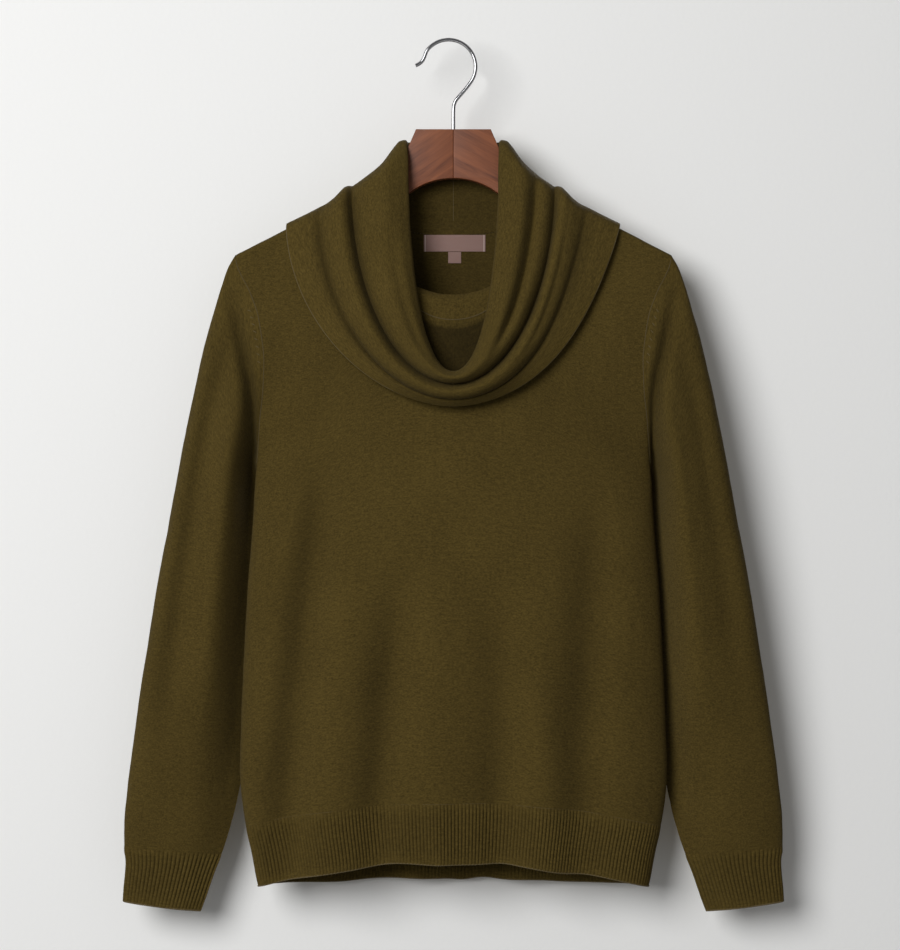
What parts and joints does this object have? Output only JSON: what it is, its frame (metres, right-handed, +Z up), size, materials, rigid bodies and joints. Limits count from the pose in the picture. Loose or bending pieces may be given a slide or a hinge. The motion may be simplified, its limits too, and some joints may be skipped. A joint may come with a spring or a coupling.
{
  "type": "cowl-neck sweater on a wooden hanger",
  "caption": "Long-sleeved fine-knit pullover with a deep folded cowl collar, ribbed hem and cuffs, hanging open and empty on a wooden hanger with a wire hook.",
  "frame": {"origin": "highest point inside the hanger's hook, in the middle of its wire, where it hangs on a rail", "axes": "+Z up, -Y the way the sweater's front faces, +X to the right as seen from the front"},
  "size_m": [0.629, 0.1096, 0.8297],
  "materials": {
    "jersey": "fine melange jersey in olive brown, soft and matt",
    "rib": "one-by-one rib knit in the same olive brown",
    "satin_label": "dusty mauve satin, bare, with a thin pale line at each end",
    "walnut": "satin lacquered red-brown walnut",
    "hook_wire": "polished chrome wire"
  },
  "bodies": {
    "root": {"front": "jersey", "back": "jersey", "sleeve_left_side": "jersey", "sleeve_right_side": "jersey", "cowl_collar": "jersey", "hem_rib_front": "rib", "hem_rib_back": "rib", "cuff_left_side": "rib", "cuff_right_side": "rib", "neck_label": "satin_label", "size_tab": "satin_label", "hanger_left_half": "walnut", "hanger_right_half": "walnut", "hanger_hook": "hook_wire"}
  },
  "joints": []
}
